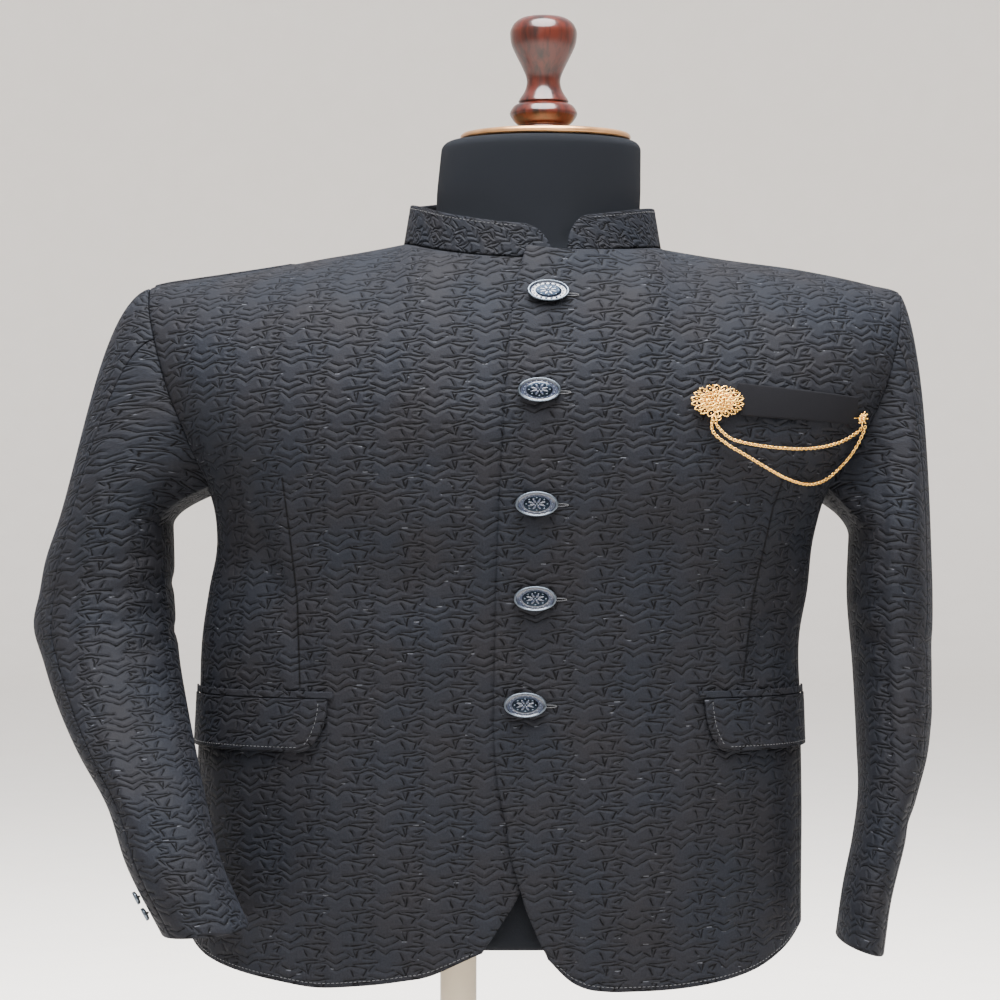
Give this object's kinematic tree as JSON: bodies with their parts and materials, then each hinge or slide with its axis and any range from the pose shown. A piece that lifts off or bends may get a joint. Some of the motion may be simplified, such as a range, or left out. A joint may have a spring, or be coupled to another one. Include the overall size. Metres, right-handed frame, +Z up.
{
  "type": "bandhgala jacket on a limbless dress form",
  "caption": "Stand-collared, button-fronted bandhgala jacket of dark self-patterned jacquard, shown on a limbless dress form on a pole stand.",
  "frame": {"origin": "on the floor, at the middle of the stand's base", "axes": "+Z up, the jacket faces -Y, and +X is the wearer's left"},
  "size_m": [0.6842, 0.3419, 0.8621],
  "materials": {
    "jacquard": "matt self-patterned jacquard",
    "welt_cloth": "matt plain cloth",
    "antique_silver": "worn silver over a dark ground",
    "gilt_brass": "bright gilt",
    "form_cover": "matt dark cloth cover",
    "brass_disc": "satin",
    "turned_wood": "gloss varnish",
    "cream_paint": "satin"
  },
  "bodies": {
    "root": {"front_left": "jacquard", "back_left": "jacquard", "side_body_left": "jacquard", "top_sleeve_left": "jacquard", "under_sleeve_left": "jacquard", "pocket_flap_left": "jacquard", "pocket_jet_left": "jacquard", "cuff_button_left_1": "antique_silver", "cuff_button_left_2": "antique_silver", "front_right": "jacquard", "back_right": "jacquard", "side_body_right": "jacquard", "top_sleeve_right": "jacquard", "under_sleeve_right": "jacquard", "pocket_flap_right": "jacquard", "pocket_jet_right": "jacquard", "cuff_button_right_1": "antique_silver", "cuff_button_right_2": "antique_silver", "collar": "jacquard", "breast_welt": "welt_cloth", "front_button_1": "antique_silver", "front_button_2": "antique_silver", "front_button_3": "antique_silver", "front_button_4": "antique_silver", "front_button_5": "antique_silver", "brooch_large": "gilt_brass", "brooch_small": "gilt_brass", "brooch_chain_upper": "gilt_brass", "brooch_chain_lower": "gilt_brass", "form_body": "form_cover", "neck_disc": "brass_disc", "finial": "turned_wood", "stand_pole": "cream_paint", "stand_base": "cream_paint"}
  },
  "joints": []
}
